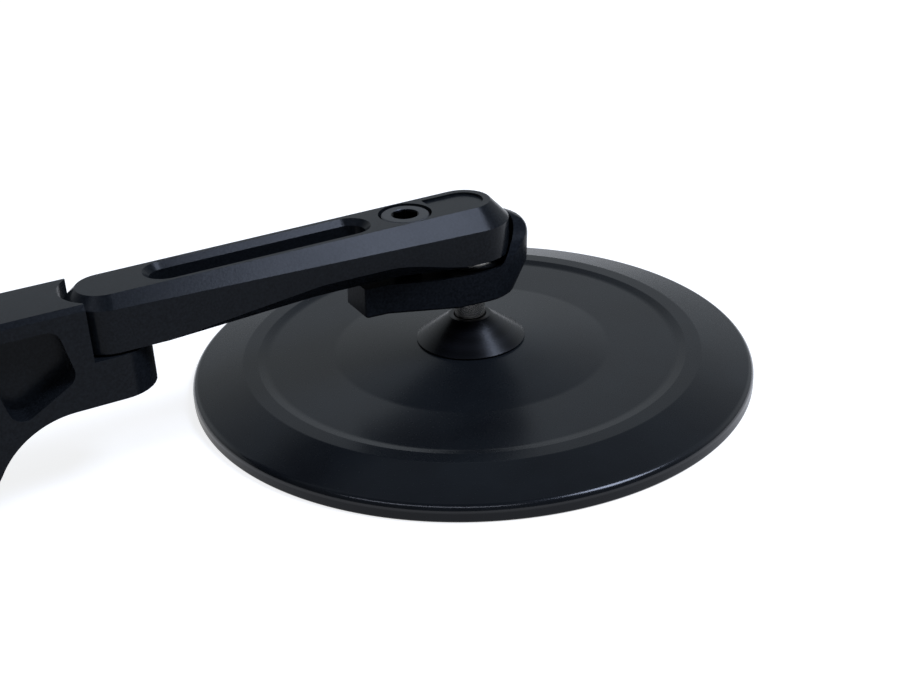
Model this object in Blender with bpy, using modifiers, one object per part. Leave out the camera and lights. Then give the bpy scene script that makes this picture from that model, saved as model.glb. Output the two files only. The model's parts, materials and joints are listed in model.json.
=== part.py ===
"""Bar-end mirror: round head on a ball joint, slotted folding arm and split handlebar clamp.

Metres, +Z up. The mirror lies face down with its rim on Z = 0. The arm points along +X to the
mirror's axis, and the origin is under the middle of the whole object's length.
"""
import bpy
import bmesh
from math import asin, atan2, cos, pi, radians, sin, sqrt, tan
from mathutils import Matrix

MM = 0.001

# Fits
SEAT_GAP = 0.2 * MM
RUN_GAP = 0.15 * MM

# Mirror head: rim, raised band, sunk plateau and crown under the boss
HEAD_RADIUS = 49.0 * MM
RIM_HEIGHT = 2.45 * MM
RIM_ROUND = 0.6 * MM
BAND_RADIUS = 40.1 * MM
BAND_HEIGHT = 4.8 * MM
BAND_WIDTH = 2.8 * MM
STEP_DEPTH = 0.4 * MM
STEP_RUN = 1.2 * MM
CROWN_RADIUS = 24.1 * MM
SHELL_CENTRE = 1.5 * MM

# Mirror glass and its adhesive pad
GLASS_RADIUS = 46.5 * MM
GLASS_EDGE_GAP = 0.4 * MM
GLASS_THICKNESS = 1.2 * MM
GLASS_INSET = 0.15 * MM
GLASS_CURVATURE = 1400.0 * MM
PAD_OUTER_RADIUS = 40.0 * MM
PAD_INNER_RADIUS = 12.0 * MM
PAD_RELIEF = 0.45 * MM

# Stud, nut, washer and boss
STUD_RADIUS = 2.67 * MM
STUD_TAIL = 0.1 * MM
NUT_CLEARANCE = 0.35 * MM
NUT_HEIGHT = 1.9 * MM
NUT_FLATS = 8.0 * MM
WASHER_RADIUS = 5.2 * MM
WASHER_THICKNESS = 0.5 * MM
NUT_POCKET_GAP = 4.5 * MM
BOSS_RADIUS = 9.5 * MM
BOSS_FOOT = 0.5 * MM
BOSS_TOP_RADIUS = 3.7 * MM
BOSS_HEIGHT = 4.3 * MM
NECK_LENGTH = 11.7 * MM

# Ball joint
BALL_RADIUS = 6.0 * MM
NECK_SWING = radians(24.0)
CLAMP_TILT = radians(2.5)

# Arm: flat top, side chamfers that grow towards the tip, bevelled underside
PIVOT_REACH = 61.8 * MM
ARM_TOP_OVER_BALL = 9.5 * MM
ARM_DEPTH = 8.7 * MM
ARM_FLAT_ROOT_HALF = 4.2 * MM
ARM_FLAT_HALF = 4.75 * MM
ARM_ROOT_HALF = 6.0 * MM
ARM_TIP_HALF = 7.8 * MM
TIP_SETBACK = 0.75 * MM
BEVEL_START = 7.0 * MM
BEVEL_FULL = 32.0 * MM
BEVEL_DEPTH = 2.9 * MM
BEVEL_RUNOUT = 17.5 * MM
BEVEL_TO_SCREW = 7.3 * MM
SLOT_HALF = 2.75 * MM
SLOT_CHAMFER = 0.95 * MM
SLOT_TO_PIVOT = 9.7 * MM
SLOT_TO_SCREW = 10.3 * MM
TIP_RECESS_DEPTH = 0.4 * MM
TIP_RECESS_LIP = 1.2 * MM
TIP_RECESS_LENGTH = 5.9 * MM

# Jaw and its screw
SCREW_REACH = 11.5 * MM
SCREW_RADIUS = 2.5 * MM
SCREW_HEAD_RADIUS = 4.1 * MM
SCREW_HEAD_HEIGHT = 3.6 * MM
SCREW_SUNK = 0.15 * MM
COUNTERBORE_GAP = 0.35 * MM
HEX_KEY = 4.0 * MM
HEX_DEPTH = 2.2 * MM
JAW_HALF = 7.5 * MM
JAW_DROP = 1.4 * MM
JAW_THICKNESS = 5.3 * MM
JAW_TAIL = 21.2 * MM
JAW_TAIL_HALF = 3.7 * MM
JAW_TAIL_ROUND = 0.4 * MM
JAW_FLARE_START = 17.0 * MM
JAW_FLARE_END = 5.5 * MM
JAW_EDGE = 0.4 * MM
NOSE_CENTRE = 3.1 * MM
NOSE_BREAK = 1.6 * MM
NOSE_DRAFT = radians(28.0)
NOSE_HEIGHT = 5.8 * MM
NOSE_ROUND = 2.7 * MM
NOSE_FILLET = 2.0 * MM
NOSE_GAP = 0.6 * MM

# Folding pivot
PIVOT_GAP = 0.5 * MM
KNUCKLE_HEIGHT = 7.1 * MM
KNUCKLE_SETBACK = 0.5 * MM
WALL_GAP = 0.75 * MM
PIVOT_SCREW_RADIUS = 2.5 * MM
PIVOT_SCREW_GRIP = 5.7 * MM
PIVOT_HEAD_RADIUS = 4.25 * MM
PIVOT_HEAD_HEIGHT = 2.9 * MM
PIVOT_KEY = 3.0 * MM
PIVOT_KEY_DEPTH = 1.7 * MM
BUSH_WALL = 1.0 * MM
THRUST_RADIUS = 5.2 * MM
THRUST_THICKNESS = 0.8 * MM
SPRING_RADIUS = 4.2 * MM
SPRING_THICKNESS = 0.6 * MM

# Handlebar clamp
BAR_RADIUS = 11.1 * MM
RING_WALL = 4.5 * MM
BAR_REACH = 33.9 * MM
BODY_HALF = 6.2 * MM
BODY_CHAMFER = 0.75 * MM
WALL_SETBACK = 4.4 * MM
WEB_FILLET = 13.8 * MM
POCKET_DEPTH = 4.0 * MM
POCKET_MARGIN = 2.7 * MM
POCKET_RING_GAP = 1.4 * MM
POCKET_TOP_LEAN = 1.8 * MM
POCKET_RISE = 5.3 * MM
POCKET_SLOPE = radians(30.0)
POCKET_ROUND = 2.2 * MM
EAR_LENGTH = 9.0 * MM
EAR_HALF = 6.0 * MM
EAR_ROUND = 1.5 * MM
SLIT_WIDTH = 1.8 * MM
PINCH_RADIUS = 2.0 * MM
PINCH_HEAD_RADIUS = 3.5 * MM
PINCH_HEAD_HEIGHT = 2.8 * MM
PINCH_SUNK = 2.0 * MM
PINCH_END = 0.6 * MM
PINCH_KEY = 3.0 * MM
PINCH_KEY_DEPTH = 1.6 * MM

# Facets
TURN_STEPS = 64
SMALL_STEPS = 32
END_STEPS = 16
CORNER_STEPS = 5
OVERSHOOT = 2.0 * MM

# Heights and places that follow from the sizes above
POCKET_RADIUS = GLASS_RADIUS + GLASS_EDGE_GAP
NUT_POCKET_RADIUS = WASHER_RADIUS + NUT_POCKET_GAP
NUT_BOTTOM = GLASS_INSET + GLASS_THICKNESS + NUT_CLEARANCE
NUT_TOP = NUT_BOTTOM + NUT_HEIGHT
WASHER_BOTTOM = NUT_TOP + SEAT_GAP
WASHER_TOP = WASHER_BOTTOM + WASHER_THICKNESS
CEILING = WASHER_TOP + SEAT_GAP
CROWN_TOP = CEILING + SHELL_CENTRE
BOSS_BOTTOM = CROWN_TOP + SEAT_GAP
BOSS_TOP = BOSS_BOTTOM + BOSS_HEIGHT
BALL_HEIGHT = BOSS_TOP + NECK_LENGTH
SEAT_RADIUS = BALL_RADIUS + SEAT_GAP
ARM_TOP = BALL_HEIGHT + ARM_TOP_OVER_BALL
ARM_BOTTOM = ARM_TOP - ARM_DEPTH
PIVOT_X = -PIVOT_REACH
TIP_X = -TIP_SETBACK
SCREW_X = -SCREW_REACH
SCREW_HEAD_TOP = ARM_TOP - SCREW_SUNK
SCREW_HEAD_BOTTOM = SCREW_HEAD_TOP - SCREW_HEAD_HEIGHT
KNUCKLE_TOP = ARM_BOTTOM - PIVOT_GAP
KNUCKLE_BOTTOM = KNUCKLE_TOP - KNUCKLE_HEIGHT
THRUST_TOP = ARM_BOTTOM - SEAT_GAP
THRUST_BOTTOM = THRUST_TOP - THRUST_THICKNESS
THRUST_SEAT = THRUST_BOTTOM - SEAT_GAP
PIVOT_HEAD_TOP = KNUCKLE_BOTTOM + PIVOT_HEAD_HEIGHT
SPRING_BOTTOM = PIVOT_HEAD_TOP + SEAT_GAP
SPRING_TOP = SPRING_BOTTOM + SPRING_THICKNESS
SPRING_SEAT = SPRING_TOP + SEAT_GAP
RING_RADIUS = BAR_RADIUS + RING_WALL
RING_X = PIVOT_X - BAR_REACH
RING_Z = ARM_TOP - RING_RADIUS
EAR_END = RING_X - RING_RADIUS - EAR_LENGTH
PINCH_X = RING_X - RING_RADIUS - EAR_LENGTH / 2
MIDDLE_X = (HEAD_RADIUS + EAR_END) / 2


def clear_scene():
    for item in list(bpy.data.objects):
        bpy.data.objects.remove(item, do_unlink=True)


def make_collection(name):
    collection = bpy.data.collections.new(name)
    bpy.context.scene.collection.children.link(collection)
    return collection


clear_scene()
PARTS = make_collection("bar_end_mirror")
CUTTERS = make_collection("cutters")

# Everything hangs on one empty, which puts the middle of the object's length over the origin
FRAME = bpy.data.objects.new("mirror_frame", None)
PARTS.objects.link(FRAME)
FRAME.location = (-MIDDLE_X, 0.0, 0.0)


def make_material(name, colour, metallic, roughness):
    material = bpy.data.materials.new(name)
    material.use_nodes = True
    surface = material.node_tree.nodes["Principled BSDF"]
    surface.inputs["Base Color"].default_value = (*colour, 1.0)
    surface.inputs["Metallic"].default_value = metallic
    surface.inputs["Roughness"].default_value = roughness
    return material


def add_mesh(name, mesh, is_cutter):
    item = bpy.data.objects.new(name, mesh)
    item.parent = FRAME
    if is_cutter:
        CUTTERS.objects.link(item)
        item.hide_render = True
        item.display_type = 'WIRE'
    else:
        PARTS.objects.link(item)
    return item


def turned(name, profile, steps, is_ring=False, is_cutter=False):
    """A solid of revolution about Z. The profile is (radius, height), down its outer side."""
    points = [(radius, 0.0, height) for radius, height in profile]
    edges = [(index, index + 1) for index in range(len(points) - 1)]
    if is_ring:
        edges.append((len(points) - 1, 0))
    mesh = bpy.data.meshes.new(name)
    mesh.from_pydata(points, edges, [])
    item = add_mesh(name, mesh, is_cutter)
    screw = item.modifiers.new("turn", 'SCREW')
    screw.axis = 'Z'
    screw.steps = steps
    screw.render_steps = steps
    screw.use_merge_vertices = True
    screw.merge_threshold = 0.000001
    return item


def rod(name, radius, top, bottom, steps, is_cutter=False):
    profile = [(0.0, top), (radius, top), (radius, bottom), (0.0, bottom)]
    return turned(name, profile, steps, False, is_cutter)


def tube(name, outer, inner, top, bottom, steps):
    return turned(name, [(inner, top), (outer, top), (outer, bottom), (inner, bottom)], steps, True)


def extruded(name, outline, thickness, is_cutter=False):
    """A flat outline in its own XY plane, filled and extruded half its thickness each way."""
    curve = bpy.data.curves.new(name, 'CURVE')
    curve.dimensions = '2D'
    curve.fill_mode = 'BOTH'
    curve.extrude = thickness / 2
    spline = curve.splines.new('POLY')
    spline.points.add(len(outline) - 1)
    for point, (x, y) in zip(spline.points, outline):
        point.co = (x, y, 0.0, 1.0)
    spline.use_cyclic_u = True
    guide = bpy.data.objects.new(name + "_outline", curve)
    CUTTERS.objects.link(guide)
    mesh = bpy.data.meshes.new_from_object(guide.evaluated_get(bpy.context.evaluated_depsgraph_get()))
    bpy.data.objects.remove(guide, do_unlink=True)
    solid = bmesh.new()
    solid.from_mesh(mesh)
    bmesh.ops.remove_doubles(solid, verts=solid.verts, dist=0.000001)
    bmesh.ops.recalc_face_normals(solid, faces=solid.faces)
    solid.to_mesh(mesh)
    solid.free()
    return add_mesh(name, mesh, is_cutter)


def loft(name, loops, is_cutter=False):
    """A closed skin through loops of equal point counts, capped at both ends."""
    skin = bmesh.new()
    rings = [[skin.verts.new(point) for point in loop] for loop in loops]
    for upper, lower in zip(rings, rings[1:]):
        for index in range(len(upper)):
            after = (index + 1) % len(upper)
            skin.faces.new((upper[index], lower[index], lower[after], upper[after]))
    skin.faces.new(rings[0])
    skin.faces.new(rings[-1][::-1])
    bmesh.ops.recalc_face_normals(skin, faces=skin.faces)
    mesh = bpy.data.meshes.new(name)
    skin.to_mesh(mesh)
    skin.free()
    return add_mesh(name, mesh, is_cutter)


def block(name, low, high):
    """A box cutter between two corners."""
    solid = bmesh.new()
    bmesh.ops.create_cube(solid, size=1.0)
    mesh = bpy.data.meshes.new(name)
    solid.to_mesh(mesh)
    solid.free()
    size = [upper - lower for lower, upper in zip(low, high)]
    middle = [(upper + lower) / 2 for lower, upper in zip(low, high)]
    mesh.transform(Matrix.Translation(middle) @ Matrix.Diagonal((*size, 1.0)))
    return add_mesh(name, mesh, True)


def prism(name, flats, top, bottom, is_cutter=False):
    """A hexagon bar across its flats, upright."""
    corner = flats / sqrt(3)
    height = top - bottom
    solid = bmesh.new()
    bmesh.ops.create_cone(solid, cap_ends=True, segments=6, radius1=corner, radius2=corner, depth=height)
    mesh = bpy.data.meshes.new(name)
    solid.to_mesh(mesh)
    solid.free()
    mesh.transform(Matrix.Translation((0.0, 0.0, (top + bottom) / 2)))
    return add_mesh(name, mesh, is_cutter)


def ball(name, radius, is_cutter=False):
    solid = bmesh.new()
    bmesh.ops.create_uvsphere(solid, u_segments=SMALL_STEPS, v_segments=SMALL_STEPS // 2, radius=radius)
    mesh = bpy.data.meshes.new(name)
    solid.to_mesh(mesh)
    solid.free()
    return add_mesh(name, mesh, is_cutter)


def shape(item, cutter, operation='DIFFERENCE'):
    step = item.modifiers.new(cutter.name, 'BOOLEAN')
    step.operation = operation
    step.object = cutter


def at(item, x=0.0, y=0.0, z=0.0):
    item.location = (x, y, z)
    return item


def origin_to(item, x, z):
    """Moves an item's origin onto its joint and leaves its shape where it is."""
    item.data.transform(Matrix.Translation((-x, 0.0, -z)))
    item.location = (x, 0.0, z)


def finish(item, material):
    """Settles an item's modifiers into its mesh, shades its round faces and dresses it."""
    depsgraph = bpy.context.evaluated_depsgraph_get()
    mesh = bpy.data.meshes.new_from_object(item.evaluated_get(depsgraph))
    item.modifiers.clear()
    item.data = mesh
    mesh.materials.clear()
    mesh.materials.append(material)
    mesh.shade_smooth()
    mesh.set_sharp_from_angle(angle=radians(30.0))


def arc(x, y, radius, start, end, steps):
    """Points on a circle from one angle to another, both ends included."""
    points = []
    for step in range(steps + 1):
        angle = start + (end - start) * step / steps
        points.append((x + radius * cos(angle), y + radius * sin(angle)))
    return points


def capsule(left, left_radius, right, right_radius):
    """A round-ended outline, counter-clockwise: two arcs joined by their common tangents."""
    lean = asin((right_radius - left_radius) / (right - left))
    tip = arc(right, 0.0, right_radius, -pi / 2 - lean, pi / 2 + lean, END_STEPS)
    root = arc(left, 0.0, left_radius, pi / 2 + lean, 3 * pi / 2 - lean, END_STEPS)
    return tip + root


def rounded(corners, radius):
    """A closed counter-clockwise polygon with each convex corner rounded off."""
    outline = []
    count = len(corners)
    for index, (x, y) in enumerate(corners):
        before = corners[index - 1]
        after = corners[(index + 1) % count]
        come = atan2(y - before[1], x - before[0])
        leave = atan2(after[1] - y, after[0] - x)
        turn = (leave - come) % (2 * pi)
        back = radius * tan(turn / 2)
        middle_x = x - back * cos(come) - radius * sin(come)
        middle_y = y - back * sin(come) + radius * cos(come)
        outline += arc(middle_x, middle_y, radius, come - pi / 2, come - pi / 2 + turn, CORNER_STEPS)
    return outline


def level(outline, height):
    return [(x, y, height) for x, y in outline]


def glass_face(radius):
    """Height of the glass's reflecting side: a shallow dome that bulges down."""
    return GLASS_INSET + radius * radius / (2 * GLASS_CURVATURE)


def glass_back(radius):
    return glass_face(radius) + GLASS_THICKNESS


def spaced(low, high, count):
    return [low + (high - low) * index / count for index in range(count + 1)]


def build_back_shell():
    bore = STUD_RADIUS + RUN_GAP
    plateau = BAND_HEIGHT - STEP_DEPTH
    step_radius = BAND_RADIUS - BAND_WIDTH
    fall = atan2(BAND_HEIGHT - RIM_HEIGHT, HEAD_RADIUS - BAND_RADIUS)
    rim_middle = RIM_HEIGHT - RIM_ROUND * (1.0 / cos(fall) - tan(fall))
    rim_edge = arc(HEAD_RADIUS - RIM_ROUND, rim_middle, RIM_ROUND, pi / 2 - fall, 0.0, CORNER_STEPS)
    ledge = glass_back(GLASS_RADIUS) + SEAT_GAP
    pad_seat = ledge + PAD_RELIEF
    pad_pocket = PAD_OUTER_RADIUS + GLASS_EDGE_GAP
    profile = [(bore, CROWN_TOP), (BOSS_RADIUS, CROWN_TOP), (CROWN_RADIUS, plateau)]
    profile += [(step_radius - STEP_RUN, plateau), (step_radius, BAND_HEIGHT), (BAND_RADIUS, BAND_HEIGHT)]
    profile += rim_edge
    profile += [(HEAD_RADIUS, RIM_ROUND), (HEAD_RADIUS - RIM_ROUND, 0.0), (POCKET_RADIUS, 0.0)]
    profile += [(POCKET_RADIUS, ledge), (pad_pocket, ledge), (pad_pocket, pad_seat)]
    profile += [(NUT_POCKET_RADIUS, pad_seat), (NUT_POCKET_RADIUS, CEILING), (bore, CEILING)]
    return turned("back_shell", profile, TURN_STEPS, True)


def build_mirror_glass():
    radii = spaced(0.0, GLASS_RADIUS, CORNER_STEPS)
    back = [(radius, glass_back(radius)) for radius in radii]
    face = [(radius, glass_face(radius)) for radius in reversed(radii)]
    return turned("mirror_glass", back + face, TURN_STEPS)


def build_glass_pad():
    top = glass_back(GLASS_RADIUS) + PAD_RELIEF
    radii = spaced(PAD_OUTER_RADIUS, PAD_INNER_RADIUS, CORNER_STEPS)
    profile = [(PAD_INNER_RADIUS, top), (PAD_OUTER_RADIUS, top)]
    profile += [(radius, glass_back(radius) + SEAT_GAP) for radius in radii]
    return turned("glass_pad", profile, TURN_STEPS, True)


def build_boss_cone():
    bore = STUD_RADIUS + RUN_GAP
    profile = [(bore, BOSS_TOP), (BOSS_TOP_RADIUS, BOSS_TOP), (BOSS_RADIUS, BOSS_BOTTOM + BOSS_FOOT)]
    profile += [(BOSS_RADIUS, BOSS_BOTTOM), (bore, BOSS_BOTTOM)]
    return turned("boss_cone", profile, TURN_STEPS, True)


def build_stud():
    """The neck's top is hollowed to the ball it stands on."""
    reach = asin(STUD_RADIUS / SEAT_RADIUS)
    cup = arc(0.0, BALL_HEIGHT, SEAT_RADIUS, -pi / 2, -pi / 2 + reach, CORNER_STEPS)
    cup[0] = (0.0, BALL_HEIGHT - SEAT_RADIUS)
    end = NUT_BOTTOM - STUD_TAIL
    return turned("stud", cup + [(STUD_RADIUS, end), (0.0, end)], SMALL_STEPS)


def build_stud_nut():
    nut = prism("stud_nut", NUT_FLATS, NUT_TOP, NUT_BOTTOM)
    bore = STUD_RADIUS + RUN_GAP
    shape(nut, rod("nut_bore", bore, NUT_TOP + OVERSHOOT, NUT_BOTTOM - OVERSHOOT, SMALL_STEPS, True))
    return nut


def build_stud_washer():
    return tube("stud_washer", WASHER_RADIUS, STUD_RADIUS + RUN_GAP, WASHER_TOP, WASHER_BOTTOM, SMALL_STEPS)


def build_pivot_ball():
    return at(ball("pivot_ball", BALL_RADIUS), z=BALL_HEIGHT)


def arm_half(x):
    """Half width of the arm, which flares from its pivot to its tip."""
    return ARM_ROOT_HALF + (ARM_TIP_HALF - ARM_ROOT_HALF) * (x - PIVOT_X) / (TIP_X - PIVOT_X)


def knee_x():
    """Where the underside's bevel starts to run out, behind the jaw's screw."""
    return SCREW_X - BEVEL_TO_SCREW


def bevel_size(x):
    """Size of the underside's bevel: it grows from the pivot, holds and runs out over the jaw."""
    if x < PIVOT_X + BEVEL_FULL:
        return BEVEL_DEPTH * (x - PIVOT_X - BEVEL_START) / (BEVEL_FULL - BEVEL_START)
    run = max(0.0, (x - knee_x()) / BEVEL_RUNOUT)
    return BEVEL_DEPTH * (1 + cos(pi * run)) / 2 - RUN_GAP * run


def bevel_cutter(name, side):
    stations = [PIVOT_X + BEVEL_START / 2, PIVOT_X + BEVEL_FULL]
    stations += spaced(knee_x(), knee_x() + BEVEL_RUNOUT, 2 * CORNER_STEPS)
    loops = []
    for x in stations:
        outer = arm_half(x) + OVERSHOOT
        inner = arm_half(x) - bevel_size(x) - OVERSHOOT
        top = ARM_BOTTOM + bevel_size(x) + OVERSHOOT
        bottom = ARM_BOTTOM - OVERSHOOT
        loops.append([(x, side * outer, top), (x, side * inner, bottom), (x, side * outer, bottom)])
    return loft(name, loops, True)


def slot_cutter():
    left = PIVOT_X + SLOT_TO_PIVOT
    right = SCREW_X - SLOT_TO_SCREW
    wide = SLOT_HALF + SLOT_CHAMFER + OVERSHOOT
    loops = [level(capsule(left, wide, right, wide), ARM_TOP + OVERSHOOT)]
    loops.append(level(capsule(left, SLOT_HALF, right, SLOT_HALF), ARM_TOP - SLOT_CHAMFER))
    loops.append(level(capsule(left, SLOT_HALF, right, SLOT_HALF), ARM_BOTTOM - OVERSHOOT))
    return loft("slot", loops, True)


def tilted(item):
    """Puts an item in the clamp's own frame: on the ball, tipped down towards the arm's tip."""
    item.location = (0.0, 0.0, BALL_HEIGHT)
    item.rotation_euler = (0.0, CLAMP_TILT, 0.0)
    return item


def build_arm():
    flat = capsule(PIVOT_X, ARM_FLAT_ROOT_HALF, TIP_X, ARM_FLAT_HALF)
    side = capsule(PIVOT_X, ARM_ROOT_HALF, TIP_X, ARM_TIP_HALF)
    root_drop = ARM_ROOT_HALF - ARM_FLAT_ROOT_HALF
    tip_drop = ARM_TIP_HALF - ARM_FLAT_HALF
    chamfer = []
    for x, y in side:
        share = (x - PIVOT_X) / (TIP_X - PIVOT_X)
        chamfer.append((x, y, ARM_TOP - root_drop - (tip_drop - root_drop) * share))
    arm = loft("arm", [level(flat, ARM_TOP), chamfer, level(side, ARM_BOTTOM)])
    for side_name, side_sign in (("near", -1), ("far", 1)):
        shape(arm, bevel_cutter("arm_bevel_" + side_name, side_sign))
    shape(arm, at(ball("arm_socket", SEAT_RADIUS, True), z=BALL_HEIGHT))
    shape(arm, slot_cutter())
    recess_half = ARM_FLAT_HALF - TIP_RECESS_LIP
    recess_end = TIP_X - TIP_RECESS_LENGTH
    recess = arc(TIP_X, 0.0, recess_half, -pi / 2, pi / 2, END_STEPS)
    recess += [(recess_end, recess_half), (recess_end, -recess_half)]
    recess_loops = [level(recess, ARM_TOP + OVERSHOOT), level(recess, ARM_TOP - TIP_RECESS_DEPTH)]
    shape(arm, loft("tip_recess", recess_loops, True))
    wide = SCREW_HEAD_RADIUS + COUNTERBORE_GAP
    floor = SCREW_HEAD_BOTTOM - SEAT_GAP
    narrow = SCREW_RADIUS + RUN_GAP
    profile = [(0.0, ARM_TOP + OVERSHOOT), (wide, ARM_TOP + OVERSHOOT), (wide, floor), (narrow, floor)]
    profile += [(narrow, ARM_BOTTOM - OVERSHOOT), (0.0, ARM_BOTTOM - OVERSHOOT)]
    shape(arm, at(turned("jaw_screw_hole", profile, SMALL_STEPS, False, True), x=SCREW_X))
    thread = PIVOT_SCREW_RADIUS + RUN_GAP
    thread_top = ARM_BOTTOM + PIVOT_SCREW_GRIP + SEAT_GAP
    hole = rod("pivot_thread", thread, thread_top, ARM_BOTTOM - OVERSHOOT, SMALL_STEPS, True)
    shape(arm, at(hole, x=PIVOT_X))
    origin_to(arm, PIVOT_X, ARM_BOTTOM)
    return arm


def jaw_outline(height, inset):
    """The jaw's plan at one height in the clamp's frame: narrow square tail, flare and round tip."""
    low = min(0.0, height + NOSE_BREAK)
    high = min(1.0, max(0.0, height - NOSE_HEIGHT + NOSE_ROUND) / NOSE_ROUND)
    centre = NOSE_CENTRE + low * tan(NOSE_DRAFT) - NOSE_ROUND * (1 - sqrt(1 - high * high))
    half = JAW_HALF - inset
    tail_half = JAW_TAIL_HALF - inset
    tail = -JAW_TAIL + inset
    corner_x = tail + JAW_TAIL_ROUND
    corner_y = tail_half - JAW_TAIL_ROUND
    outline = arc(centre, 0.0, half, -pi / 2, pi / 2, END_STEPS)
    outline += [(-JAW_FLARE_END, half), (-JAW_FLARE_START, tail_half)]
    outline += arc(corner_x, corner_y, JAW_TAIL_ROUND, pi / 2, pi, CORNER_STEPS)
    outline += arc(corner_x, -corner_y, JAW_TAIL_ROUND, pi, 3 * pi / 2, CORNER_STEPS)
    outline += [(-JAW_FLARE_START, -tail_half), (-JAW_FLARE_END, -half)]
    return level(outline, height)


def nose_arch():
    """What is cut away above the jaw's plate to leave a round-topped nose, seen along the arm."""
    base = -JAW_DROP + RUN_GAP
    half = JAW_HALF + RUN_GAP
    wide = 2 * JAW_HALF
    high = NOSE_HEIGHT + OVERSHOOT
    unit = arc(0.0, 0.0, 1.0, 0.0, pi, END_STEPS)
    outline = [(half * x, base + (NOSE_HEIGHT - base) * y) for x, y in unit]
    outline += [(-wide, base), (-wide, high), (wide, high), (wide, base)]
    cutter = extruded("nose_arch", outline, wide, True)
    along_arm = Matrix(((0, 0, 1, 0), (1, 0, 0, 0), (0, 1, 0, 0), (0, 0, 0, 1)))
    cutter.data.transform(Matrix.Translation((JAW_HALF, 0.0, 0.0)) @ along_arm)
    return tilted(cutter)


def neck_opening():
    """A cone that lets the neck swing all round, also with the jaw a turn of its screw lower."""
    low = BALL_RADIUS + JAW_THICKNESS
    narrow = STUD_RADIUS / cos(NECK_SWING)
    wide = narrow + low * tan(NECK_SWING)
    profile = [(0.0, 0.0), (narrow, 0.0), (wide, -low), (0.0, -low)]
    return at(turned("neck_opening", profile, SMALL_STEPS, False, True), z=BALL_HEIGHT)


def tip_space():
    """The arm tip's room inside the nose, with a fillet where the nose rises from the jaw's plate."""
    full = ARM_TIP_HALF + NOSE_GAP
    loops = [level(capsule(-2 * JAW_TAIL, full, TIP_X, full), 2 * NOSE_HEIGHT)]
    for angle in spaced(0.0, pi / 2, CORNER_STEPS):
        half = full - NOSE_FILLET * (1 - cos(angle))
        height = -JAW_DROP + NOSE_FILLET * (1 - sin(angle))
        loops.append(level(capsule(-2 * JAW_TAIL, half, TIP_X, half), height))
    return tilted(loft("tip_space", loops, True))


def build_clamp_jaw():
    bottom = -JAW_DROP - JAW_THICKNESS
    heights = [NOSE_HEIGHT + OVERSHOOT]
    heights += spaced(NOSE_HEIGHT, NOSE_HEIGHT - NOSE_ROUND, CORNER_STEPS)
    heights += [-NOSE_BREAK, bottom + JAW_EDGE]
    loops = [jaw_outline(height, 0.0) for height in heights]
    loops.append(jaw_outline(bottom, JAW_EDGE))
    jaw = tilted(loft("clamp_jaw", loops))
    shape(jaw, tip_space())
    shape(jaw, nose_arch())
    shape(jaw, at(ball("jaw_seat", SEAT_RADIUS, True), z=BALL_HEIGHT))
    shape(jaw, neck_opening())
    hole_bottom = BALL_HEIGHT - 2 * JAW_THICKNESS
    hole = rod("jaw_thread", SCREW_RADIUS + RUN_GAP, ARM_TOP, hole_bottom, SMALL_STEPS, True)
    shape(jaw, at(hole, x=SCREW_X))
    return jaw


def clamp_height(x, local):
    """World height, over X on the arm's centre line, of a plane parallel to the jaw."""
    return BALL_HEIGHT + local / cos(CLAMP_TILT) - x * tan(CLAMP_TILT)


def headed_screw(name, head_radius, head_span, radius, end, key, key_depth):
    """A cap screw, head up, with a hexagon socket; head_span is the head's top and bottom."""
    head_top, head_bottom = head_span
    profile = [(0.0, head_top), (head_radius, head_top), (head_radius, head_bottom)]
    profile.append((radius, head_bottom))
    profile += [(radius, end), (0.0, end)]
    screw = turned(name, profile, SMALL_STEPS)
    socket = prism(name + "_key", key, head_top + OVERSHOOT, head_top - key_depth, True)
    shape(screw, socket)
    return screw, socket


def build_jaw_screw():
    end = clamp_height(SCREW_X, -JAW_DROP - JAW_THICKNESS) + SEAT_GAP
    head = (SCREW_HEAD_TOP, SCREW_HEAD_BOTTOM)
    screw, socket = headed_screw("jaw_screw", SCREW_HEAD_RADIUS, head, SCREW_RADIUS, end, HEX_KEY, HEX_DEPTH)
    at(socket, x=SCREW_X)
    return at(screw, x=SCREW_X)


def build_pivot_screw():
    """Turned head down: its shank rises through the knuckle into the arm."""
    shank = PIVOT_HEAD_HEIGHT + ARM_BOTTOM + PIVOT_SCREW_GRIP - PIVOT_HEAD_TOP
    head = (0.0, -PIVOT_HEAD_HEIGHT)
    screw, socket = headed_screw("pivot_screw", PIVOT_HEAD_RADIUS, head, PIVOT_SCREW_RADIUS, -shank,
                                 PIVOT_KEY, PIVOT_KEY_DEPTH)
    for item in (screw, socket):
        item.rotation_euler = (pi, 0.0, 0.0)
        at(item, x=PIVOT_X, z=KNUCKLE_BOTTOM)
    return screw


def build_pivot_bush():
    inner = PIVOT_SCREW_RADIUS + RUN_GAP
    top = THRUST_SEAT - RUN_GAP
    bottom = SPRING_SEAT + RUN_GAP
    return at(tube("pivot_bush", inner + BUSH_WALL, inner, top, bottom, SMALL_STEPS), x=PIVOT_X)


def build_thrust_washer():
    inner = PIVOT_SCREW_RADIUS + RUN_GAP
    washer = tube("thrust_washer", THRUST_RADIUS, inner, THRUST_TOP, THRUST_BOTTOM, SMALL_STEPS)
    return at(washer, x=PIVOT_X)


def build_spring_washer():
    inner = PIVOT_SCREW_RADIUS + RUN_GAP
    washer = tube("spring_washer", SPRING_RADIUS, inner, SPRING_TOP, SPRING_BOTTOM, SMALL_STEPS)
    return at(washer, x=PIVOT_X)


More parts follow.
